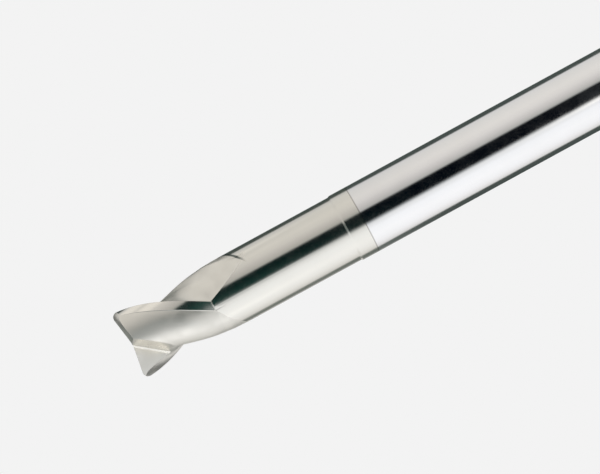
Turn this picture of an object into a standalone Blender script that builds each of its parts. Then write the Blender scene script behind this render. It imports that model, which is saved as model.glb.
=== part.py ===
# Two-flute bull nose end mill, ground from one solid carbide rod.
# It stands on its shank end: the origin is the middle of that flat end, +Z runs to the cutting tip.
# Units are metres. "Depth" is the distance below the tip, measured down the axis.
# Teeth turn anticlockwise seen from the tip, so each rake face looks that way round.
import math

import bmesh
import bpy
from mathutils import Matrix, Vector

# Overall sizes
OVERALL_LENGTH = 0.060
CUT_DIAMETER = 0.006
CUT_LENGTH = 0.0078
CORNER_RADIUS = 0.0005
SHANK_DIAMETER = 0.006
SHANK_CHAMFER = 0.0004
NECK_RELIEF = 0.000075
NECK_BLEND_LENGTH = 0.00003
NECK_REACH = 0.0205
NECK_TAPER_LENGTH = 0.00015
COATED_LENGTH = 0.0220

# Teeth
TOOTH_COUNT = 2
HELIX_ANGLE = math.radians(30.6)
EDGE_START_ANGLE = math.radians(-1.5)
PRIMARY_RELIEF = math.radians(9.0)
PRIMARY_LAND = math.radians(16.5)
LAND_CROWN = 0.06
END_DISH = math.radians(8.0)
END_RELIEF = math.radians(12.0)

# Flutes: the trough radius grows from the tip until the wheel has left the rod
TROUGH_SHARE_AT_TIP = 5 / 12
TROUGH_RISE = 0.190
TROUGH_RISE_LOSS = 4.2
TROUGH_ANGLE = math.radians(50.0)
BACK_FULLNESS = 0.90
BACK_FULLNESS_MOST = 6.0
BACK_FULLNESS_START = 0.0030
BACK_FULLNESS_EASE = 0.0010
BACK_FULLNESS_GROWTH = 320.0
BACK_RUNOUT_LENGTH = 0.0036
BACK_LEAST_WIDTH = 0.02
BACK_EXIT_SHARE = 0.15
FLOOR_RISE = 0.00325
FLOOR_RISE_LOSS = 350.0
FLOOR_BLEND = 0.00003
HEEL_DROP = 0.000035
HEEL_CHAMFER = math.radians(1.2)
HEEL_BLEND_LENGTH = 0.0006
RUNOUT_LENGTH = 0.0046
RUNOUT_LEAN = math.radians(52.0)

# Rake curve, as shares of the flute depth, the trough angle and the run-out lean
RAKE_STRAIGHT = 0.65
HOLLOW_DROP = 0.10
HOLLOW_SPREAD = 0.56
EDGE_LEAN = 0.6
HOLLOW_LEAN = 0.3

# Gashes: the notches that open each end edge towards the middle
GASH_FOOT_START = (-0.00010, 0.0004)
GASH_ANGLE = math.radians(51.3)
GASH_RAKE = math.radians(18.5)
GASH_SETBACK = 0.00008
GASH_WALL_TILT = math.radians(14.5)
GASH_ROOT_RADIUS = 0.00018

# Stock and cutter margins
GRIND_STOCK = 0.00005
CUTTER_MARGIN = 0.0008
CUTTER_LEAD = math.radians(8.0)
HEEL_OVERLAP = math.radians(0.6)
LAND_RUNOUT = 0.0012
LAND_RUNOUT_SLOPE = 0.05

# Finish
BARE_COLOUR = (0.72, 0.71, 0.70)
COATED_COLOUR = (0.66, 0.64, 0.58)
POLISH_ROUGHNESS = 0.16

# How finely round shapes are divided
ROUND_STEPS = 96
CORNER_STEPS = 12
HELIX_STEP = 0.0003
BACK_POINTS = 14
RAKE_POINTS = 12
OUTER_POINTS = 9
LAND_POINTS = 4
LAND_OUTER_POINTS = 3
END_POINTS = 8
GASH_ROOT_POINTS = 5
SHARP_ANGLE = math.radians(24.0)

CUT_RADIUS = CUT_DIAMETER / 2
NECK_RADIUS = CUT_RADIUS - NECK_RELIEF
SHANK_RADIUS = SHANK_DIAMETER / 2
OUTSIDE_RADIUS = CUT_RADIUS + CUTTER_MARGIN
HEEL_RADIUS = CUT_RADIUS * (1 - PRIMARY_LAND * math.tan(PRIMARY_RELIEF) + LAND_CROWN * PRIMARY_LAND**2)
HEEL_ANGLE = 2 * math.pi / TOOTH_COUNT - PRIMARY_LAND
TOOTH_PITCH = 2 * math.pi / TOOTH_COUNT


def clear_scene():
    for obj in list(bpy.data.objects):
        bpy.data.objects.remove(obj, do_unlink=True)


def new_collection(name):
    collection = bpy.data.collections.new(name)
    bpy.context.scene.collection.children.link(collection)
    return collection


def carbide():
    """Polished bare carbide on the shank, and a thin silvery beige coating on the front of the tool."""
    material = bpy.data.materials.new("carbide")
    material.use_nodes = True
    nodes = material.node_tree.nodes
    links = material.node_tree.links
    shader = nodes["Principled BSDF"]
    shader.inputs["Metallic"].default_value = 1.0
    shader.inputs["Roughness"].default_value = POLISH_ROUGHNESS
    place = nodes.new("ShaderNodeNewGeometry")
    axes = nodes.new("ShaderNodeSeparateXYZ")
    coated = nodes.new("ShaderNodeMath")
    coated.operation = "GREATER_THAN"
    coated.inputs[1].default_value = height(COATED_LENGTH)
    colours = nodes.new("ShaderNodeMix")
    colours.data_type = "RGBA"
    colours.inputs["A"].default_value = (*BARE_COLOUR, 1.0)
    colours.inputs["B"].default_value = (*COATED_COLOUR, 1.0)
    links.new(place.outputs["Position"], axes.inputs[0])
    links.new(axes.outputs["Z"], coated.inputs[0])
    links.new(coated.outputs[0], colours.inputs["Factor"])
    links.new(colours.outputs["Result"], shader.inputs["Base Color"])
    return material


def height(depth):
    return OVERALL_LENGTH - depth


def edge_angle(depth):
    """Where a cutting edge stands around the axis. It stops turning at the end of the cutting length."""
    turned = min(depth, CUT_LENGTH)
    return EDGE_START_ANGLE - turned * math.tan(HELIX_ANGLE) / CUT_RADIUS


def around(radius, angle, z):
    return Vector((radius * math.cos(angle), radius * math.sin(angle), z))


def steps(start, end, count):
    return [start + (end - start) * i / count for i in range(count + 1)]


def mesh_object(name, vertices, faces, collection):
    mesh = bpy.data.meshes.new(name)
    mesh.from_pydata([tuple(v) for v in vertices], [], faces)
    form = bmesh.new()
    form.from_mesh(mesh)
    bmesh.ops.triangulate(form, faces=form.faces[:])
    bmesh.ops.recalc_face_normals(form, faces=form.faces[:])
    form.to_mesh(mesh)
    form.free()
    obj = bpy.data.objects.new(name, mesh)
    collection.objects.link(obj)
    return obj


def as_cutter(obj):
    obj.hide_render = True
    obj.display_type = "WIRE"
    return obj


def loft(name, rings, collection):
    """A closed solid through rings of as many points each, capped at both ends."""
    size = len(rings[0])
    vertices = [point for ring in rings for point in ring]
    faces = [tuple(range(size)), tuple(range((len(rings) - 1) * size, len(rings) * size))]
    for row in range(len(rings) - 1):
        for i in range(size):
            j = (i + 1) % size
            low = row * size
            high = low + size
            faces.append((low + i, low + j, high + j, high + i))
    return mesh_object(name, vertices, faces, collection)


def turned_blank(collection):
    """The rod after turning: shank, taper, neck and a head with a little stock left on its end."""
    top = OVERALL_LENGTH + GRIND_STOCK
    profile = [
        (0.0, top),
        (CUT_RADIUS, top),
        (CUT_RADIUS, height(CUT_LENGTH)),
        (NECK_RADIUS, height(CUT_LENGTH + NECK_BLEND_LENGTH)),
        (NECK_RADIUS, height(NECK_REACH - NECK_TAPER_LENGTH)),
        (SHANK_RADIUS, height(NECK_REACH)),
        (SHANK_RADIUS, SHANK_CHAMFER),
        (SHANK_RADIUS - SHANK_CHAMFER, 0.0),
        (0.0, 0.0),
    ]
    mesh = bpy.data.meshes.new("end_mill")
    edges = [(i, i + 1) for i in range(len(profile) - 1)]
    mesh.from_pydata([(radius, 0.0, z) for radius, z in profile], edges, [])
    blank = bpy.data.objects.new("end_mill", mesh)
    collection.objects.link(blank)
    turn = blank.modifiers.new("turn", "SCREW")
    turn.steps = ROUND_STEPS
    turn.render_steps = ROUND_STEPS
    turn.use_merge_vertices = True
    turn.merge_threshold = 1e-6
    return blank


def land_lift(depth):
    """How far the relief wheel has left the rod, past the cutting length."""
    return LAND_RUNOUT_SLOPE * max(depth - CUT_LENGTH, 0.0)


def trough_radius(depth):
    return TROUGH_SHARE_AT_TIP * CUT_RADIUS + TROUGH_RISE * depth - TROUGH_RISE_LOSS * depth**2


def neck_blend_radius(past):
    """The radius of the turned rod this far past the cutting length, on its way down to the neck."""
    return CUT_RADIUS - NECK_RELIEF * min(past / NECK_BLEND_LENGTH, 1.0)


def back_curve(depth):
    """The back of a flute, in polar form, from the trough to the next heel. It narrows as the wheel leaves."""
    past = max(depth - CUT_LENGTH, 0.0)
    width = max(1 - past / BACK_RUNOUT_LENGTH, BACK_LEAST_WIDTH)
    leaving = min(past / HEEL_BLEND_LENGTH, 1.0)
    since = depth - BACK_FULLNESS_START
    grown = BACK_FULLNESS_GROWTH * (since + math.hypot(since, BACK_FULLNESS_EASE)) / 2
    fullness = min(BACK_FULLNESS * math.exp(grown), BACK_FULLNESS_MOST)
    low = trough_radius(depth)
    top = (1 - leaving) * (HEEL_RADIUS - HEEL_DROP) + leaving * neck_blend_radius(past)
    rise = max(top - low, 0.0)
    exit_share = BACK_EXIT_SHARE * leaving
    floor_rise = FLOOR_RISE * math.exp(-FLOOR_RISE_LOSS * (depth - CUT_LENGTH))
    heel_angle = TROUGH_ANGLE + (HEEL_ANGLE - TROUGH_ANGLE) * width
    last = heel_angle - HEEL_CHAMFER * width
    points = []
    for share in steps(0.0, 1.0, BACK_POINTS):
        convex = rise * ((1 - exit_share) * (1 - (1 - share) ** fullness) + exit_share * share**2)
        level = floor_rise * share**2
        lift = (convex + level) / 2 - math.hypot((convex - level) / 2, FLOOR_BLEND * share)
        points.append((low + lift, TROUGH_ANGLE + (last - TROUGH_ANGLE) * share))
    points.append((top + HEEL_DROP, heel_angle))
    return points


def rake_curve(depth):
    """The rake face and the hollow below it, in polar form, from the cutting edge in to the trough."""
    low = trough_radius(depth)
    deep = max(CUT_RADIUS - low, 0.0)
    lean = RUNOUT_LEAN * max(depth - CUT_LENGTH, 0.0) / RUNOUT_LENGTH
    ends = (
        (CUT_RADIUS, EDGE_LEAN * lean),
        (CUT_RADIUS - RAKE_STRAIGHT * deep, lean),
        (low - HOLLOW_DROP * deep, HOLLOW_SPREAD * TROUGH_ANGLE + HOLLOW_LEAN * lean),
        (low, TROUGH_ANGLE),
    )
    points = []
    for t in steps(0.0, 1.0, RAKE_POINTS):
        weights = ((1 - t) ** 3, 3 * t * (1 - t) ** 2, 3 * t * t * (1 - t), t**3)
        radius = sum(w * end[0] for w, end in zip(weights, ends))
        angle = sum(w * end[1] for w, end in zip(weights, ends))
        points.append((radius, angle))
    return points


def flute_ring(depth, turn):
    """One section of what the flute wheel removes, closed outside the rod."""
    floor = rake_curve(depth)[:-1] + back_curve(depth)
    outside = [(OUTSIDE_RADIUS, angle) for angle in steps(floor[-1][1], 0.0, OUTER_POINTS)]
    start = edge_angle(depth) + turn
    return [around(radius, start + angle, height(depth)) for radius, angle in floor + outside]


def flute_cutter(index, collection):
    turn = index * TOOTH_PITCH
    end = CUT_LENGTH + RUNOUT_LENGTH
    count = math.ceil((end + CUTTER_MARGIN) / HELIX_STEP)
    rings = [flute_ring(depth, turn) for depth in steps(-CUTTER_MARGIN, end, count)]
    return as_cutter(loft(f"flute_cutter_{index + 1}", rings, collection))


def land_radius(behind):
    """The relieved radius of a tooth this far behind its edge."""
    return CUT_RADIUS * (1 - behind * math.tan(PRIMARY_RELIEF) + LAND_CROWN * behind**2)


def land_ring(depth, turn):
    """One section of what is ground off the land, closed outside the rod."""
    lift = land_lift(depth)
    start = edge_angle(depth) + turn
    last = PRIMARY_LAND + HEEL_OVERLAP
    floor = [(land_radius(behind) + lift, behind) for behind in steps(-CUTTER_LEAD, last, LAND_POINTS)]
    outside = [(OUTSIDE_RADIUS, behind) for behind in steps(last, -CUTTER_LEAD, LAND_OUTER_POINTS)]
    return [around(radius, start - behind, height(depth)) for radius, behind in floor + outside]


def land_cutter(index, collection):
    turn = index * TOOTH_PITCH
    end = CUT_LENGTH + LAND_RUNOUT
    count = math.ceil((end + CUTTER_MARGIN) / HELIX_STEP)
    rings = [land_ring(depth, turn) for depth in steps(-CUTTER_MARGIN, end, count)]
    return as_cutter(loft(f"land_cutter_{index + 1}", rings, collection))


def end_profile(behind):
    """End line and corner arc in the half plane behind the edge, as (radius, depth, twist depth)."""
    side = land_radius(min(behind, PRIMARY_LAND + CUTTER_LEAD))
    slope = math.cos(behind) * math.tan(END_DISH) - math.sin(behind) * math.tan(END_RELIEF)
    centre_radius = side - CORNER_RADIUS
    edge_centre = CUT_RADIUS - CORNER_RADIUS
    middle_depth = edge_centre * math.tan(END_DISH) - CORNER_RADIUS * (1 / math.cos(END_DISH) - 1)
    centre_depth = middle_depth - slope * centre_radius + CORNER_RADIUS * math.sqrt(1 + slope**2)
    points = [(radius, middle_depth - slope * radius, 0.0) for radius in (0.0, centre_radius / 2)]
    for swing in steps(math.pi / 2 + math.atan(slope), 0.0, CORNER_STEPS):
        radius = centre_radius + CORNER_RADIUS * math.cos(swing)
        depth = centre_depth - CORNER_RADIUS * math.sin(swing)
        points.append((radius, depth, CORNER_RADIUS * (1 - math.sin(swing))))
    points.append((OUTSIDE_RADIUS, centre_depth, CORNER_RADIUS))
    points.append((OUTSIDE_RADIUS, -CUTTER_MARGIN, 0.0))
    points.append((0.0, -CUTTER_MARGIN, 0.0))
    return points


def end_relief_cutter(index, collection):
    """What is ground off one tooth's end and round its corner."""
    turn = index * TOOTH_PITCH
    behinds = [-CUTTER_LEAD] + steps(0.0, PRIMARY_LAND, LAND_POINTS)
    behinds += steps(PRIMARY_LAND, TOOTH_PITCH - CUTTER_LEAD, END_POINTS)[1:]
    rows = []
    for behind in behinds:
        profile = end_profile(behind)
        rows.append([around(r, edge_angle(twist) + turn - behind, height(depth)) for r, depth, twist in profile])
    inner = len(rows[0]) - 2
    vertices = [rows[0][0], rows[0][-1]] + [point for row in rows for point in row[1:-1]]

    def number(row, i):
        if i == 0:
            return 0
        return 1 if i == inner + 1 else 2 + row * inner + i - 1

    span = range(inner + 2)
    faces = [tuple(number(row, i) for i in span) for row in (0, len(rows) - 1)]
    for row in range(len(rows) - 1):
        for i in span[:-1]:
            corners = (number(row, i), number(row, i + 1), number(row + 1, i + 1), number(row + 1, i))
            faces.append(tuple(dict.fromkeys(corners)))
    return as_cutter(mesh_object(f"end_relief_cutter_{index + 1}", vertices, faces, collection))


def gash_cutter(index, collection):
    """A prism along the foot of the notch: one wall is the end rake face, the other opens the web."""
    across, foot_depth = GASH_FOOT_START
    foot = Vector((across, GASH_SETBACK + math.tan(GASH_RAKE) * foot_depth, height(foot_depth)))
    run = Vector((-math.cos(GASH_ANGLE), math.sin(GASH_ANGLE) * math.tan(GASH_RAKE), -math.sin(GASH_ANGLE)))
    run.normalize()
    rake_out = Vector((0.0, -math.cos(GASH_RAKE), -math.sin(GASH_RAKE)))
    rake_wall = run.cross(rake_out)
    if rake_wall.z < 0:
        rake_wall.negate()
    lean = math.tan(GASH_WALL_TILT)
    web_wall = Vector((lean * math.sin(GASH_ANGLE), -1.0, -lean * math.cos(GASH_ANGLE)))
    web_wall -= web_wall.dot(run) * run
    web_wall.normalize()
    half = rake_wall.angle(web_wall) / 2
    bisector = (rake_wall + web_wall).normalized()
    centre = foot + bisector * GASH_ROOT_RADIUS / math.sin(half)
    reach = 2 * CUT_RADIUS
    section = []
    for share in steps(0.0, 1.0, GASH_ROOT_POINTS):
        swing = (share - 0.5) * (math.pi - 2 * half)
        turned = Matrix.Rotation(swing, 3, rake_wall.cross(web_wall).normalized()) @ -bisector
        section.append(centre + turned * GASH_ROOT_RADIUS)
    if (section[0] - foot).dot(rake_wall) < (section[-1] - foot).dot(rake_wall):
        section.reverse()
    outline = [foot + rake_wall * reach] + section + [foot + web_wall * reach]
    outline.append(foot + web_wall * reach + rake_wall * reach)
    turn = Matrix.Rotation((index + 1) * TOOTH_PITCH, 3, "Z")
    rings = [[turn @ (point + run * along) for point in outline] for along in (-reach / 2, reach)]
    return as_cutter(loft(f"gash_cutter_{index + 1}", rings, collection))


def cut(body, cutter):
    """The exact solver leaves open edges where the lands meet the flutes, so this one is used throughout."""
    modifier = body.modifiers.new(cutter.name, "BOOLEAN")
    modifier.operation = "DIFFERENCE"
    modifier.solver = "MANIFOLD"
    modifier.object = cutter


def finish_surfaces(body):
    """Keeps the ground shape as the body's own mesh, shaded smooth between its sharp edges."""
    graph = bpy.context.evaluated_depsgraph_get()
    mesh = bpy.data.meshes.new_from_object(body.evaluated_get(graph))
    body.modifiers.clear()
    body.data = mesh
    mesh.shade_smooth()
    mesh.set_sharp_from_angle(angle=SHARP_ANGLE)


def main():
    clear_scene()
    parts = new_collection("bull_nose_end_mill")
    cutters = new_collection("cutters")
    mill = turned_blank(parts)
    mill.data.materials.append(carbide())
    for index in range(TOOTH_COUNT):
        cut(mill, flute_cutter(index, cutters))
    for index in range(TOOTH_COUNT):
        cut(mill, land_cutter(index, cutters))
        cut(mill, end_relief_cutter(index, cutters))
    for index in range(TOOTH_COUNT):
        cut(mill, gash_cutter(index, cutters))
    finish_surfaces(mill)


main()
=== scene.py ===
import math

import bmesh
import bpy
from mathutils import Matrix, Vector


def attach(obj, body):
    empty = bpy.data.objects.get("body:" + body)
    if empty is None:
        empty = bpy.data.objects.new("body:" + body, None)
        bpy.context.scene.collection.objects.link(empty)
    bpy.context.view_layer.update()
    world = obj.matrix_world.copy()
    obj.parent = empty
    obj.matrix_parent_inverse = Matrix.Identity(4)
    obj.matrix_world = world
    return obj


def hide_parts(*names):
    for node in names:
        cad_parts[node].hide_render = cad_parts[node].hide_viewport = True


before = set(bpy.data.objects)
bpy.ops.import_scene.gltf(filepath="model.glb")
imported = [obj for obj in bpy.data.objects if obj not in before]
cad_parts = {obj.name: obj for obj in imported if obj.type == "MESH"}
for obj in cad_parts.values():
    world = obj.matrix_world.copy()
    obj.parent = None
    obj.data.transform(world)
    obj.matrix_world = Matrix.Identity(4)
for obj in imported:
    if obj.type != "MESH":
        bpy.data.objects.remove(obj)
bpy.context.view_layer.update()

# Overall sizes, as in the model
OVERALL_LENGTH = 0.060
CUT_RADIUS = 0.003
CUT_LENGTH = 0.0078
CORNER_RADIUS = 0.0005
SHANK_RADIUS = 0.003
SHANK_CHAMFER = 0.0004
NECK_RELIEF = 0.000075
NECK_BLEND_LENGTH = 0.00003
NECK_REACH = 0.0205
NECK_TAPER_LENGTH = 0.00015
COATED_LENGTH = 0.0220

# Teeth
TOOTH_COUNT = 2
HELIX_ANGLE = math.radians(30.6)
EDGE_START_ANGLE = math.radians(-1.5)
PRIMARY_RELIEF = math.radians(9.0)
PRIMARY_LAND = math.radians(16.5)
LAND_CROWN = 0.06
END_DISH = math.radians(8.0)
END_RELIEF = math.radians(12.0)

# Flutes
TROUGH_SHARE_AT_TIP = 5 / 12
TROUGH_RISE = 0.190
TROUGH_RISE_LOSS = 4.2
TROUGH_ANGLE = math.radians(50.0)
BACK_FULLNESS = 0.90
BACK_FULLNESS_MOST = 6.0
BACK_FULLNESS_START = 0.0030
BACK_FULLNESS_EASE = 0.0010
BACK_FULLNESS_GROWTH = 320.0
BACK_RUNOUT_LENGTH = 0.0036
BACK_LEAST_WIDTH = 0.02
BACK_EXIT_SHARE = 0.15
FLOOR_RISE = 0.00325
FLOOR_RISE_LOSS = 350.0
FLOOR_BLEND = 0.00003
HEEL_DROP = 0.000035
HEEL_CHAMFER = math.radians(1.2)
HEEL_BLEND_LENGTH = 0.0006
RUNOUT_LENGTH = 0.0046
RUNOUT_LEAN = math.radians(52.0)

# Rake curve, as shares of the flute depth, the trough angle and the run-out lean
RAKE_STRAIGHT = 0.65
HOLLOW_DROP = 0.10
HOLLOW_SPREAD = 0.56
EDGE_LEAN = 0.6
HOLLOW_LEAN = 0.3

# Gashes
GASH_FOOT_START = (-0.00010, 0.0004)
GASH_ANGLE = math.radians(51.3)
GASH_RAKE = math.radians(18.5)
GASH_SETBACK = 0.00008
GASH_WALL_TILT = math.radians(14.5)
GASH_ROOT_RADIUS = 0.00018

# Stock and cutter margins
GRIND_STOCK = 0.00005
CUTTER_MARGIN = 0.0008
CUTTER_LEAD = math.radians(8.0)
HEEL_OVERLAP = math.radians(0.1)
LAND_RUNOUT = 0.0012
LAND_RUNOUT_SLOPE = 0.05

# How finely the shown surfaces are divided
ROUND_STEPS = 256
CORNER_STEPS = 24
HELIX_STEP = 0.0001
BACK_POINTS = 40
RAKE_POINTS = 32
OUTER_POINTS = 20
LAND_POINTS = 8
LAND_OUTER_POINTS = 3
END_POINTS = 24
GASH_ROOT_POINTS = 14
SHARP_ANGLE = math.radians(7.0)

# Which finish each ground surface has
TURNED, FLUTED, RELIEVED, ENDED, GASHED = range(5)

NECK_RADIUS = CUT_RADIUS - NECK_RELIEF
OUTSIDE_RADIUS = CUT_RADIUS + CUTTER_MARGIN
HEEL_RADIUS = CUT_RADIUS * (1 - PRIMARY_LAND * math.tan(PRIMARY_RELIEF) + LAND_CROWN * PRIMARY_LAND**2)
TOOTH_PITCH = 2 * math.pi / TOOTH_COUNT
HEEL_ANGLE = TOOTH_PITCH - PRIMARY_LAND

# Colours, as linear light
PALE = (0.896, 0.896, 0.896)
FLOOR_GREY = (0.80, 0.80, 0.80)
BARE = (0.740, 0.730, 0.720)
COATED = (0.684, 0.664, 0.611)
CLOUDY = (0.50, 0.48, 0.42)
# Painted shade: the colour of the dark line along each flute's run-out
LINE = (0.250, 0.240, 0.220)
RUNOUT_SHADE_COLOUR = (0.060, 0.080, 0.072)
BLACK = (0.0, 0.0, 0.0)

# Finish that each wheel leaves, in the order above: name, roughness, marks, depth of the marks, cloudiness
FINISHES = (
    ("turned_carbide", 0.14, "rings", 0.10, 0.05),
    ("fluted_carbide", 0.44, "helix", 0.10, 0.05),
    ("relieved_carbide", 0.13, "helix", 0.08, 0.04),
    ("ended_carbide", 0.34, "across", 0.08, 0.04),
    ("gashed_carbide", 0.30, "across", 0.10, 0.05),
)
BARE_POLISH = 0.11
UNEVEN_POLISH = (0.88, 1.12)
UNEVEN_SCALE = 900.0
CLOUD_SCALE = 420.0
COATING_BLUR = 0.00004
COATING_LINE_WIDTH = (0.00002, 0.00008)
COATING_LINE_STRENGTH = 0.6
EDGE_ROUNDING = 0.000022

# Grinding marks: their height, how fine they are, and how far they are drawn out along the wheel's path
MARK_HEIGHT = 0.000004
RING_MARK_SCALE = 30000.0
MARK_SCALE = 22000.0
MARK_STRETCH = 0.02
END_MARK_STRETCH = 0.05

# Painted shade: the dark line at a flute's run-out, standing in for the shade and dark reflection in its
# crease. Half its width in radians, and where it starts and ends past the cut
RUNOUT_SHADE_WIDTH = (0.040, 0.095)
RUNOUT_SHADE_STRENGTH = 0.90
RUNOUT_SHADE_START = (0.0019, 0.0025)
RUNOUT_SHADE_END = (0.0036, 0.0042)

# The dome that the metal shows. An azimuth is in degrees from the camera, positive towards +X.
# A height is a share of the dome's radius, and a pair is the two ends of a soft edge.
DOME_RADIUS = 0.62
DOME_MIDDLE = (0.0, 0.0, 0.045)

# Walls: azimuth, colour. The right one is dimmer where it is seen level than where it is seen low
WALLS = (
    (-180.0, (0.80, 0.80, 0.80)),
    (-118.0, (0.92, 0.92, 0.92)),
    (-98.0, (1.15, 1.16, 1.19)),
    (-86.0, (1.22, 1.24, 1.28)),
    (-66.0, (1.27, 1.29, 1.33)),
    (-42.0, (1.22, 1.25, 1.30)),
    (-27.0, (1.00, 1.02, 1.05)),
    (-20.0, (0.62, 0.66, 0.68)),
    (20.0, (0.40, 0.42, 0.42)),
    (27.0, (0.60, 0.60, 0.58)),
    (38.0, (0.76, 0.74, 0.73)),
    (54.0, (0.92, 0.90, 0.88)),
    (72.0, (0.98, 0.96, 0.93)),
    (100.0, (0.92, 0.91, 0.89)),
    (118.0, (0.86, 0.86, 0.86)),
    (180.0, (0.80, 0.80, 0.80)),
)
DIM_WALL_START = (20.0, 40.0)
DIM_WALL_RISE = (-0.11, 0.0)
DIM_WALL_SHARE = 0.11

# Port at the camera: its edges, the band where it reaches further left, and its colours
PORT_LEFT = (-24.5, -11.5)
PORT_RIGHT = (18.5, 25.0)
PORT_BOTTOM = (-0.27, -0.17)
PORT_TOP = (0.23, 0.30)
PORT_BAND_BOTTOM = (0.13, 0.16)
PORT_BAND_TOP = (0.215, 0.245)
PORT_BAND_DEGREES = 36.0
PORT_FOOT = (-0.06, -0.01)
PORT_FOOT_DEGREES = 1.3
PORT_TURN = (-12.0, 10.0)
PORT_RISE = (-0.04, 0.0)
PORT_LEFT_COLOUR = (0.010, 0.052, 0.044)
PORT_RIGHT_COLOUR = (0.0, 0.019, 0.017)
PORT_LOW_COLOUR = (0.0, 0.001, 0.004)

# Ring behind the tool: its edge, its open middle, what widens and narrows it, and its colours
RING_EDGE = (0.50, 0.64)
RING_MIDDLE = (math.cos(math.radians(8.0)), math.cos(math.radians(5.0)))
RING_LOW = (-0.08, -0.03)
RING_LOW_GAIN = 0.07
RING_RIGHT_LOSS = 0.06
RING_HIGH = (0.14, 0.24)
RING_HIGH_LOSS = 0.08
RING_FOOT = (-0.26, -0.16)
RING_FOOT_LOSS = 0.4
RING_SIDES = (-0.3, 0.3)
RING_LEFT_COLOUR = (0.210, 0.235, 0.220)
RING_RIGHT_COLOUR = (0.075, 0.095, 0.088)

# Darker and paler patches: azimuth, elevation, inner and outer radius in degrees, strength, colour
PATCHES = (
    (-62.0, -47.0, 25.0, 36.0, 1.0, (0.006, 0.016, 0.014)),
    (2.0, -42.0, 12.0, 18.0, 1.0, (0.98, 1.01, 1.06)),
    (-160.0, 10.0, 8.0, 16.0, 0.8, (0.80, 0.78, 0.76)),
    (74.0, 16.0, 6.0, 17.0, 0.60, (1.24, 1.20, 1.15)),
    (106.0, 14.0, 5.0, 18.0, 0.60, (1.24, 1.20, 1.15)),
    (-73.0, 19.0, 7.0, 22.0, 0.72, (1.72, 1.74, 1.78)),
    (0.0, 53.0, 9.0, 16.0, 0.75, (0.05, 0.08, 0.07)),
    (-28.0, 27.0, 8.0, 17.0, 0.8, (0.03, 0.05, 0.045)),
    (-24.0, -22.0, 9.0, 15.0, 1.0, (2.15, 2.10, 2.03)),
    (-130.0, 10.0, 4.0, 10.0, 0.85, (1.36, 1.36, 1.34)),
    (166.0, 38.0, 10.0, 18.0, 0.8, (0.03, 0.04, 0.04)),
)

# Floor and lamp
FLOOR_AT = (0.0, 0.0, 0.0)
FLOOR_RADIUS = 0.085
FLOOR_ROUGHNESS = 0.9
LAMP_SIZE = 0.30
LAMP_POWER = 1.2
LAMP_AT = (-0.25, -0.22, 0.42)
LAMP_AIM = (0.0, 0.0, 0.02)

# The camera of the photo
CAMERA_AT = (0.001165, -0.300, 0.0490)
CAMERA_AIM = (0.001165, 0.0, 0.0432)
CAMERA_LENS = 217.5
CAMERA_TILT = math.radians(28.64)


def height(depth):
    return OVERALL_LENGTH - depth


def edge_angle(depth):
    """Where a cutting edge stands around the axis. It stops turning at the end of the cutting length."""
    turned = min(depth, CUT_LENGTH)
    return EDGE_START_ANGLE - turned * math.tan(HELIX_ANGLE) / CUT_RADIUS


def around(radius, angle, z):
    return Vector((radius * math.cos(angle), radius * math.sin(angle), z))


def steps(start, end, count):
    return [start + (end - start) * i / count for i in range(count + 1)]


def mesh_object(name, vertices, faces, surface):
    mesh = bpy.data.meshes.new(name)
    mesh.from_pydata([tuple(v) for v in vertices], [], faces)
    form = bmesh.new()
    form.from_mesh(mesh)
    bmesh.ops.triangulate(form, faces=form.faces[:])
    bmesh.ops.recalc_face_normals(form, faces=form.faces[:])
    for face in form.faces:
        face.material_index = surface
    form.to_mesh(mesh)
    form.free()
    obj = bpy.data.objects.new(name, mesh)
    bpy.context.scene.collection.objects.link(obj)
    return obj


def loft(name, rings, surface):
    """A closed solid through rings of as many points each, capped at both ends."""
    size = len(rings[0])
    vertices = [point for ring in rings for point in ring]
    faces = [tuple(range(size)), tuple(range((len(rings) - 1) * size, len(rings) * size))]
    for row in range(len(rings) - 1):
        for i in range(size):
            j = (i + 1) % size
            low = row * size
            high = low + size
            faces.append((low + i, low + j, high + j, high + i))
    return mesh_object(name, vertices, faces, surface)


def turned_blank():
    top = OVERALL_LENGTH + GRIND_STOCK
    profile = [
        (0.0, top),
        (CUT_RADIUS, top),
        (CUT_RADIUS, height(CUT_LENGTH)),
        (NECK_RADIUS, height(CUT_LENGTH + NECK_BLEND_LENGTH)),
        (NECK_RADIUS, height(NECK_REACH - NECK_TAPER_LENGTH)),
        (SHANK_RADIUS, height(NECK_REACH)),
        (SHANK_RADIUS, SHANK_CHAMFER),
        (SHANK_RADIUS - SHANK_CHAMFER, 0.0),
        (0.0, 0.0),
    ]
    mesh = bpy.data.meshes.new("blank")
    edges = [(i, i + 1) for i in range(len(profile) - 1)]
    mesh.from_pydata([(radius, 0.0, z) for radius, z in profile], edges, [])
    blank = bpy.data.objects.new("blank", mesh)
    bpy.context.scene.collection.objects.link(blank)
    turn = blank.modifiers.new("turn", "SCREW")
    turn.steps = ROUND_STEPS
    turn.render_steps = ROUND_STEPS
    turn.use_merge_vertices = True
    turn.merge_threshold = 1e-6
    return blank


def land_lift(depth):
    return LAND_RUNOUT_SLOPE * max(depth - CUT_LENGTH, 0.0)


def trough_radius(depth):
    return TROUGH_SHARE_AT_TIP * CUT_RADIUS + TROUGH_RISE * depth - TROUGH_RISE_LOSS * depth**2


def neck_blend_radius(past):
    """The radius of the turned rod this far past the cutting length, on its way down to the neck."""
    return CUT_RADIUS - NECK_RELIEF * min(past / NECK_BLEND_LENGTH, 1.0)


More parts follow.
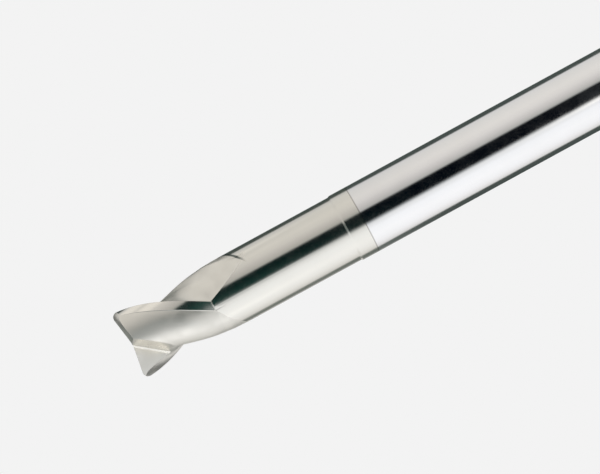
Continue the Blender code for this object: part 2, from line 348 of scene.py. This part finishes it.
def back_curve(depth):
    past = max(depth - CUT_LENGTH, 0.0)
    width = max(1 - past / BACK_RUNOUT_LENGTH, BACK_LEAST_WIDTH)
    leaving = min(past / HEEL_BLEND_LENGTH, 1.0)
    since = depth - BACK_FULLNESS_START
    grown = BACK_FULLNESS_GROWTH * (since + math.hypot(since, BACK_FULLNESS_EASE)) / 2
    fullness = min(BACK_FULLNESS * math.exp(grown), BACK_FULLNESS_MOST)
    low = trough_radius(depth)
    top = (1 - leaving) * (HEEL_RADIUS - HEEL_DROP) + leaving * neck_blend_radius(past)
    rise = max(top - low, 0.0)
    exit_share = BACK_EXIT_SHARE * leaving
    floor_rise = FLOOR_RISE * math.exp(-FLOOR_RISE_LOSS * (depth - CUT_LENGTH))
    heel_angle = TROUGH_ANGLE + (HEEL_ANGLE - TROUGH_ANGLE) * width
    last = heel_angle - HEEL_CHAMFER * width
    points = []
    for share in steps(0.0, 1.0, BACK_POINTS):
        convex = rise * ((1 - exit_share) * (1 - (1 - share) ** fullness) + exit_share * share**2)
        level = floor_rise * share**2
        lift = (convex + level) / 2 - math.hypot((convex - level) / 2, FLOOR_BLEND * share)
        points.append((low + lift, TROUGH_ANGLE + (last - TROUGH_ANGLE) * share))
    points.append((top + HEEL_DROP, heel_angle))
    return points


def rake_curve(depth):
    low = trough_radius(depth)
    deep = max(CUT_RADIUS - low, 0.0)
    lean = RUNOUT_LEAN * max(depth - CUT_LENGTH, 0.0) / RUNOUT_LENGTH
    ends = (
        (CUT_RADIUS, EDGE_LEAN * lean),
        (CUT_RADIUS - RAKE_STRAIGHT * deep, lean),
        (low - HOLLOW_DROP * deep, HOLLOW_SPREAD * TROUGH_ANGLE + HOLLOW_LEAN * lean),
        (low, TROUGH_ANGLE),
    )
    points = []
    for t in steps(0.0, 1.0, RAKE_POINTS):
        weights = ((1 - t) ** 3, 3 * t * (1 - t) ** 2, 3 * t * t * (1 - t), t**3)
        radius = sum(w * end[0] for w, end in zip(weights, ends))
        angle = sum(w * end[1] for w, end in zip(weights, ends))
        points.append((radius, angle))
    return points


def flute_ring(depth, turn):
    floor = rake_curve(depth)[:-1] + back_curve(depth)
    outside = [(OUTSIDE_RADIUS, angle) for angle in steps(floor[-1][1], 0.0, OUTER_POINTS)]
    start = edge_angle(depth) + turn
    return [around(radius, start + angle, height(depth)) for radius, angle in floor + outside]


def flute_cutter(index):
    turn = index * TOOTH_PITCH
    end = CUT_LENGTH + RUNOUT_LENGTH
    count = math.ceil((end + CUTTER_MARGIN) / HELIX_STEP)
    rings = [flute_ring(depth, turn) for depth in steps(-CUTTER_MARGIN, end, count)]
    return loft(f"flute_cutter_{index + 1}", rings, FLUTED)


def land_radius(behind):
    return CUT_RADIUS * (1 - behind * math.tan(PRIMARY_RELIEF) + LAND_CROWN * behind**2)


def land_ring(depth, turn):
    lift = land_lift(depth)
    start = edge_angle(depth) + turn
    last = PRIMARY_LAND + HEEL_OVERLAP
    floor = [(land_radius(behind) + lift, behind) for behind in steps(-CUTTER_LEAD, last, LAND_POINTS)]
    outside = [(OUTSIDE_RADIUS, behind) for behind in steps(last, -CUTTER_LEAD, LAND_OUTER_POINTS)]
    return [around(radius, start - behind, height(depth)) for radius, behind in floor + outside]


def land_cutter(index):
    turn = index * TOOTH_PITCH
    end = CUT_LENGTH + LAND_RUNOUT
    count = math.ceil((end + CUTTER_MARGIN) / HELIX_STEP)
    rings = [land_ring(depth, turn) for depth in steps(-CUTTER_MARGIN, end, count)]
    return loft(f"land_cutter_{index + 1}", rings, RELIEVED)


def end_profile(behind):
    """End line and corner arc in the half plane this far behind the edge, as (radius, depth, twist depth)."""
    side = land_radius(min(behind, PRIMARY_LAND + CUTTER_LEAD))
    slope = math.cos(behind) * math.tan(END_DISH) - math.sin(behind) * math.tan(END_RELIEF)
    centre_radius = side - CORNER_RADIUS
    edge_centre = CUT_RADIUS - CORNER_RADIUS
    middle_depth = edge_centre * math.tan(END_DISH) - CORNER_RADIUS * (1 / math.cos(END_DISH) - 1)
    centre_depth = middle_depth - slope * centre_radius + CORNER_RADIUS * math.sqrt(1 + slope**2)
    points = [(radius, middle_depth - slope * radius, 0.0) for radius in (0.0, centre_radius / 2)]
    for swing in steps(math.pi / 2 + math.atan(slope), 0.0, CORNER_STEPS):
        radius = centre_radius + CORNER_RADIUS * math.cos(swing)
        depth = centre_depth - CORNER_RADIUS * math.sin(swing)
        points.append((radius, depth, CORNER_RADIUS * (1 - math.sin(swing))))
    points.append((OUTSIDE_RADIUS, centre_depth, CORNER_RADIUS))
    points.append((OUTSIDE_RADIUS, -CUTTER_MARGIN, 0.0))
    points.append((0.0, -CUTTER_MARGIN, 0.0))
    return points


def end_relief_cutter(index):
    turn = index * TOOTH_PITCH
    behinds = [-CUTTER_LEAD] + steps(0.0, PRIMARY_LAND, LAND_POINTS)
    behinds += steps(PRIMARY_LAND, TOOTH_PITCH - CUTTER_LEAD, END_POINTS)[1:]
    rows = []
    for behind in behinds:
        row = []
        for radius, depth, twist in end_profile(behind):
            row.append(around(radius, edge_angle(twist) + turn - behind, height(depth)))
        rows.append(row)
    inner = len(rows[0]) - 2
    vertices = [rows[0][0], rows[0][-1]] + [point for row in rows for point in row[1:-1]]

    def number(row, i):
        if i == 0:
            return 0
        return 1 if i == inner + 1 else 2 + row * inner + i - 1

    span = range(inner + 2)
    faces = [tuple(number(row, i) for i in span) for row in (0, len(rows) - 1)]
    for row in range(len(rows) - 1):
        for i in span[:-1]:
            corners = (number(row, i), number(row, i + 1), number(row + 1, i + 1), number(row + 1, i))
            faces.append(tuple(dict.fromkeys(corners)))
    return mesh_object(f"end_relief_cutter_{index + 1}", vertices, faces, ENDED)


def gash_cutter(index):
    """A prism along the foot of the notch: one wall is the end rake face, the other opens the web."""
    across, foot_depth = GASH_FOOT_START
    foot = Vector((across, GASH_SETBACK + math.tan(GASH_RAKE) * foot_depth, height(foot_depth)))
    run = Vector((-math.cos(GASH_ANGLE), math.sin(GASH_ANGLE) * math.tan(GASH_RAKE), -math.sin(GASH_ANGLE)))
    run.normalize()
    rake_out = Vector((0.0, -math.cos(GASH_RAKE), -math.sin(GASH_RAKE)))
    rake_wall = run.cross(rake_out)
    if rake_wall.z < 0:
        rake_wall.negate()
    lean = math.tan(GASH_WALL_TILT)
    web_wall = Vector((lean * math.sin(GASH_ANGLE), -1.0, -lean * math.cos(GASH_ANGLE)))
    web_wall -= web_wall.dot(run) * run
    web_wall.normalize()
    half = rake_wall.angle(web_wall) / 2
    bisector = (rake_wall + web_wall).normalized()
    centre = foot + bisector * GASH_ROOT_RADIUS / math.sin(half)
    reach = 2 * CUT_RADIUS
    section = []
    for share in steps(0.0, 1.0, GASH_ROOT_POINTS):
        swing = (share - 0.5) * (math.pi - 2 * half)
        turned = Matrix.Rotation(swing, 3, rake_wall.cross(web_wall).normalized()) @ -bisector
        section.append(centre + turned * GASH_ROOT_RADIUS)
    if (section[0] - foot).dot(rake_wall) < (section[-1] - foot).dot(rake_wall):
        section.reverse()
    outline = [foot + rake_wall * reach] + section + [foot + web_wall * reach]
    outline.append(foot + web_wall * reach + rake_wall * reach)
    turn = Matrix.Rotation((index + 1) * TOOTH_PITCH, 3, "Z")
    rings = [[turn @ (point + run * along) for point in outline] for along in (-reach / 2, reach)]
    return loft(f"gash_cutter_{index + 1}", rings, GASHED)


def ground_mill(finishes):
    """The finely divided tool: the same cuts as in the model, each with the finish of its wheel."""
    blank = turned_blank()
    cutters = [flute_cutter(index) for index in range(TOOTH_COUNT)]
    for index in range(TOOTH_COUNT):
        cutters += [land_cutter(index), end_relief_cutter(index)]
    cutters += [gash_cutter(index) for index in range(TOOTH_COUNT)]
    for obj in [blank] + cutters:
        for finish in finishes:
            obj.data.materials.append(finish)
    for cutter in cutters:
        cut = blank.modifiers.new(cutter.name, "BOOLEAN")
        cut.operation = "DIFFERENCE"
        cut.solver = "MANIFOLD"
        cut.object = cutter
    graph = bpy.context.evaluated_depsgraph_get()
    mesh = bpy.data.meshes.new_from_object(blank.evaluated_get(graph))
    mesh.name = "ground_mill"
    mesh.shade_smooth()
    mesh.set_sharp_from_angle(angle=SHARP_ANGLE)
    for obj in [blank] + cutters:
        bpy.data.objects.remove(obj, do_unlink=True)
    mill = bpy.data.objects.new("ground_mill", mesh)
    bpy.context.scene.collection.objects.link(mill)
    return mill


def feed(tree, socket, value):
    if isinstance(value, bpy.types.NodeSocket):
        tree.links.new(value, socket)
    else:
        socket.default_value = value


def calc(tree, operation, *values):
    made = tree.nodes.new("ShaderNodeMath")
    made.operation = operation
    for socket, value in zip(made.inputs, values):
        feed(tree, socket, value)
    return made.outputs[0]


def fade(tree, value, start, end, low=0.0, high=1.0):
    """Runs smoothly from low to high as the value goes from start to end."""
    made = tree.nodes.new("ShaderNodeMapRange")
    made.interpolation_type = "SMOOTHSTEP"
    names = ("Value", "From Min", "From Max", "To Min", "To Max")
    for name, given in zip(names, (value, start, end, low, high)):
        feed(tree, made.inputs[name], given)
    return made.outputs["Result"]


def blend(tree, factor, first, second):
    made = tree.nodes.new("ShaderNodeMix")
    made.data_type = "RGBA"
    feed(tree, made.inputs[0], factor)
    for socket, colour in zip(made.inputs[6:8], (first, second)):
        feed(tree, socket, colour if isinstance(colour, bpy.types.NodeSocket) else (*colour, 1.0))
    return made.outputs[2]


def ramp(tree, factor, stops):
    made = tree.nodes.new("ShaderNodeValToRGB")
    elements = made.color_ramp.elements
    while len(elements) < len(stops):
        elements.new(0.5)
    for element, (place, colour) in zip(elements, stops):
        element.position = place
        element.color = (*colour, 1.0)
    feed(tree, made.inputs[0], factor)
    return made.outputs[0]


def place_of(tree):
    place = tree.nodes.new("ShaderNodeTexCoord")
    axes = tree.nodes.new("ShaderNodeSeparateXYZ")
    tree.links.new(place.outputs["Object"], axes.inputs[0])
    return place.outputs["Object"], axes.outputs


def noise(tree, vector, scale, detail=2.0):
    made = tree.nodes.new("ShaderNodeTexNoise")
    feed(tree, made.inputs["Vector"], vector)
    made.inputs["Scale"].default_value = scale
    made.inputs["Detail"].default_value = detail
    return made.outputs["Fac"]


def combine(tree, x, y, z):
    made = tree.nodes.new("ShaderNodeCombineXYZ")
    for socket, value in zip(made.inputs, (x, y, z)):
        feed(tree, socket, value)
    return made.outputs[0]


def coating_colour(tree, place, z, coated, cloudiness):
    """The coated front and the bare shank, with the fine line between them and faint clouds."""
    colour = blend(tree, coated, BARE, COATED)
    from_line = calc(tree, "ABSOLUTE", calc(tree, "SUBTRACT", z, height(COATED_LENGTH)))
    line = fade(tree, from_line, *COATING_LINE_WIDTH, COATING_LINE_STRENGTH, 0.0)
    colour = blend(tree, line, colour, LINE)
    clouds = fade(tree, noise(tree, place, CLOUD_SCALE, 3.0), 0.35, 0.75, 0.0, cloudiness)
    return blend(tree, clouds, colour, CLOUDY)


def painted_runout_shade(tree, z, angle):
    """How much of the painted shade line along the upper side of each flute's run-out shows at a place."""
    past = calc(tree, "SUBTRACT", height(CUT_LENGTH), z)
    span = HEEL_ANGLE - TROUGH_ANGLE
    start = edge_angle(CUT_LENGTH) + TROUGH_ANGLE + span
    away = calc(tree, "SUBTRACT", calc(tree, "MULTIPLY_ADD", past, span / BACK_RUNOUT_LENGTH, angle), start)
    away = calc(tree, "PINGPONG", away, TOOTH_PITCH / 2)
    cover = fade(tree, away, *RUNOUT_SHADE_WIDTH, RUNOUT_SHADE_STRENGTH, 0.0)
    cover = calc(tree, "MULTIPLY", cover, fade(tree, past, *RUNOUT_SHADE_START))
    return calc(tree, "MULTIPLY", cover, fade(tree, past, *RUNOUT_SHADE_END, 1.0, 0.0))


def grinding_marks(tree, marks, x, y, z, angle):
    """Fine lines as the wheel ran: in "rings" round the tool, along its "helix", or "across" its end."""
    if marks == "rings":
        drawn_out = [calc(tree, "MULTIPLY", axis, MARK_STRETCH) for axis in (x, y)]
        return noise(tree, combine(tree, *drawn_out, z), RING_MARK_SCALE)
    if marks == "helix":
        twist = calc(tree, "MULTIPLY", z, math.tan(HELIX_ANGLE) / CUT_RADIUS)
        along = calc(tree, "MULTIPLY", calc(tree, "SUBTRACT", angle, twist), CUT_RADIUS)
        squares = calc(tree, "ADD", calc(tree, "MULTIPLY", x, x), calc(tree, "MULTIPLY", y, y))
        radius = calc(tree, "SQRT", squares)
        lines = combine(tree, along, radius, calc(tree, "MULTIPLY", z, MARK_STRETCH))
        return noise(tree, lines, MARK_SCALE)
    drawn_out = [calc(tree, "MULTIPLY", axis, END_MARK_STRETCH) for axis in (y, z)]
    return noise(tree, combine(tree, x, *drawn_out), MARK_SCALE)


def carbide(name, roughness, marks, mark_depth, cloudiness):
    """Ground carbide, coated in front, with its edges very slightly rounded."""
    material = bpy.data.materials.new(name)
    material.use_nodes = True
    tree = material.node_tree
    shader = tree.nodes["Principled BSDF"]
    shader.inputs["Metallic"].default_value = 1.0
    place, (x, y, z) = place_of(tree)
    angle = calc(tree, "ARCTAN2", y, x)
    coated = fade(tree, z, height(COATED_LENGTH) - COATING_BLUR, height(COATED_LENGTH) + COATING_BLUR)
    colour = coating_colour(tree, place, z, coated, cloudiness)
    # Painted shade: darkens the colour along the upper side of each flute's run-out
    colour = blend(tree, painted_runout_shade(tree, z, angle), colour, RUNOUT_SHADE_COLOUR)
    tree.links.new(colour, shader.inputs["Base Color"])
    bump = tree.nodes.new("ShaderNodeBump")
    bump.inputs["Strength"].default_value = mark_depth
    bump.inputs["Distance"].default_value = MARK_HEIGHT
    tree.links.new(grinding_marks(tree, marks, x, y, z, angle), bump.inputs["Height"])
    edge = tree.nodes.new("ShaderNodeBevel")
    edge.samples = 6
    edge.inputs["Radius"].default_value = EDGE_ROUNDING
    tree.links.new(edge.outputs[0], bump.inputs["Normal"])
    tree.links.new(bump.outputs[0], shader.inputs["Normal"])
    uneven = fade(tree, noise(tree, place, UNEVEN_SCALE), 0.3, 0.7, *UNEVEN_POLISH)
    polish = fade(tree, coated, 0.0, 1.0, BARE_POLISH, roughness)
    tree.links.new(calc(tree, "MULTIPLY", uneven, polish), shader.inputs["Roughness"])
    return material


def wall_colour(tree, azimuth, z):
    """The walls round the tool, pale at the sides."""
    share = calc(tree, "MULTIPLY_ADD", azimuth, 1 / 360.0, 0.5)
    walls = ramp(tree, share, [(degrees / 360.0 + 0.5, colour) for degrees, colour in WALLS])
    level = fade(tree, z, *DIM_WALL_RISE, 0.0, DIM_WALL_SHARE)
    return blend(tree, calc(tree, "MULTIPLY", fade(tree, azimuth, *DIM_WALL_START), level), walls, BLACK)


def with_port(tree, colour, azimuth, z):
    """Adds the dark port at the camera."""
    band = calc(tree, "MULTIPLY", fade(tree, z, *PORT_BAND_BOTTOM), fade(tree, z, *PORT_BAND_TOP, 1.0, 0.0))
    reach = calc(tree, "ADD", azimuth, fade(tree, z, *PORT_FOOT, PORT_FOOT_DEGREES, 0.0))
    reach = calc(tree, "MULTIPLY_ADD", band, PORT_BAND_DEGREES, reach)
    wide = calc(tree, "MULTIPLY", fade(tree, reach, *PORT_LEFT), fade(tree, azimuth, *PORT_RIGHT, 1.0, 0.0))
    tall = calc(tree, "MULTIPLY", fade(tree, z, *PORT_BOTTOM), fade(tree, z, *PORT_TOP, 1.0, 0.0))
    inside = blend(tree, fade(tree, azimuth, *PORT_TURN), PORT_LEFT_COLOUR, PORT_RIGHT_COLOUR)
    inside = blend(tree, fade(tree, z, *PORT_RISE), PORT_LOW_COLOUR, inside)
    return blend(tree, calc(tree, "MULTIPLY", wide, tall), colour, inside)


def with_ring(tree, colour, x, y, z):
    """Adds the darker ring behind the tool, which draws its outlines."""
    low = fade(tree, z, *RING_LOW, 1.0, 0.0)
    reach = calc(tree, "MULTIPLY_ADD", low, RING_LOW_GAIN, y)
    reach = calc(tree, "MULTIPLY_ADD", calc(tree, "MAXIMUM", x, 0.0), -RING_RIGHT_LOSS, reach)
    reach = calc(tree, "MULTIPLY_ADD", fade(tree, z, *RING_HIGH), -RING_HIGH_LOSS, reach)
    reach = calc(tree, "MULTIPLY_ADD", fade(tree, z, *RING_FOOT, 1.0, 0.0), -RING_FOOT_LOSS, reach)
    cover = calc(tree, "MULTIPLY", fade(tree, reach, *RING_EDGE), fade(tree, y, *RING_MIDDLE, 1.0, 0.0))
    right = calc(tree, "MAXIMUM", fade(tree, x, *RING_SIDES), low)
    return blend(tree, cover, colour, blend(tree, right, RING_LEFT_COLOUR, RING_RIGHT_COLOUR))


def with_patch(tree, colour, axes, azimuth, elevation, inside, outside, strength, patch_colour):
    """Adds one round patch with a soft edge."""
    turn = math.radians(azimuth)
    level = math.cos(math.radians(elevation))
    way = (math.sin(turn) * level, -math.cos(turn) * level, math.sin(math.radians(elevation)))
    near = 0.0
    for axis, share in zip(axes, way):
        near = calc(tree, "MULTIPLY_ADD", axis, share, near)
    edge = (math.cos(math.radians(outside)), math.cos(math.radians(inside)))
    return blend(tree, fade(tree, near, *edge, 0.0, strength), colour, patch_colour)


def surroundings():
    """The soft light that only reflections show."""
    bpy.ops.mesh.primitive_uv_sphere_add(segments=96, ring_count=48, radius=DOME_RADIUS, location=DOME_MIDDLE)
    dome = bpy.context.object
    dome.name = "studio_walls"
    dome.visible_camera = False
    dome.visible_shadow = False
    material = bpy.data.materials.new("studio_walls")
    material.use_nodes = True
    tree = material.node_tree
    tree.nodes.clear()
    output = tree.nodes.new("ShaderNodeOutputMaterial")
    light = tree.nodes.new("ShaderNodeEmission")
    tree.links.new(light.outputs[0], output.inputs["Surface"])
    place, _ = place_of(tree)
    unit = tree.nodes.new("ShaderNodeVectorMath")
    unit.operation = "NORMALIZE"
    tree.links.new(place, unit.inputs[0])
    axes = tree.nodes.new("ShaderNodeSeparateXYZ")
    tree.links.new(unit.outputs[0], axes.inputs[0])
    x, y, z = axes.outputs
    azimuth = calc(tree, "ARCTAN2", x, calc(tree, "MULTIPLY", y, -1.0))
    azimuth = calc(tree, "MULTIPLY", azimuth, 180 / math.pi)
    colour = with_port(tree, wall_colour(tree, azimuth, z), azimuth, z)
    colour = with_ring(tree, colour, x, y, z)
    for patch in PATCHES:
        colour = with_patch(tree, colour, (x, y, z), *patch)
    tree.links.new(colour, light.inputs["Color"])
    dome.data.materials.append(material)
    return dome


def floor_disc():
    """The plain floor. It is left out of reflections, as the photo's metal shows none."""
    bpy.ops.mesh.primitive_circle_add(vertices=128, radius=FLOOR_RADIUS, fill_type="NGON", location=FLOOR_AT)
    floor = bpy.context.object
    floor.name = "floor"
    material = bpy.data.materials.new("floor")
    material.use_nodes = True
    shader = material.node_tree.nodes["Principled BSDF"]
    shader.inputs["Base Color"].default_value = (*FLOOR_GREY, 1.0)
    shader.inputs["Roughness"].default_value = FLOOR_ROUGHNESS
    floor.data.materials.append(material)
    floor.visible_glossy = False
    return floor


def soft_lamp():
    data = bpy.data.lights.new("soft_lamp", "AREA")
    data.size = LAMP_SIZE
    data.energy = LAMP_POWER
    lamp = bpy.data.objects.new("soft_lamp", data)
    bpy.context.scene.collection.objects.link(lamp)
    lamp.location = LAMP_AT
    lamp.rotation_mode = "QUATERNION"
    lamp.rotation_quaternion = (Vector(LAMP_AIM) - lamp.location).to_track_quat("-Z", "Y")
    lamp.visible_glossy = False


def pale_world():
    world = bpy.data.worlds.new("pale")
    bpy.context.scene.world = world
    world.use_nodes = True
    sky = world.node_tree.nodes["Background"]
    sky.inputs["Color"].default_value = (*PALE, 1.0)
    sky.inputs["Strength"].default_value = 1.0


def photo_camera():
    """The camera of the photo, turned about its own axis as the tool lies slanted in the picture."""
    data = bpy.data.cameras.new("camera")
    camera = bpy.data.objects.new("camera", data)
    bpy.context.scene.collection.objects.link(camera)
    data.lens = CAMERA_LENS
    data.sensor_width = 36.0
    data.clip_start = 0.01
    data.clip_end = 10.0
    back = (Vector(CAMERA_AT) - Vector(CAMERA_AIM)).normalized()
    down = Vector((0.0, 0.0, -1.0))
    down = (down - down.dot(back) * back).normalized()
    side = back.cross(down)
    right = math.cos(CAMERA_TILT) * down - math.sin(CAMERA_TILT) * side
    up = back.cross(right)
    turned = Matrix((right, up, back)).transposed().to_4x4()
    camera.matrix_world = Matrix.Translation(Vector(CAMERA_AT)) @ turned
    bpy.context.scene.camera = camera


mill = ground_mill([carbide(*finish) for finish in FINISHES])
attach(mill, "root")
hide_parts("end_mill")
surroundings()
floor_disc()
soft_lamp()
pale_world()
photo_camera()

bpy.context.scene.view_settings.view_transform = "Standard"
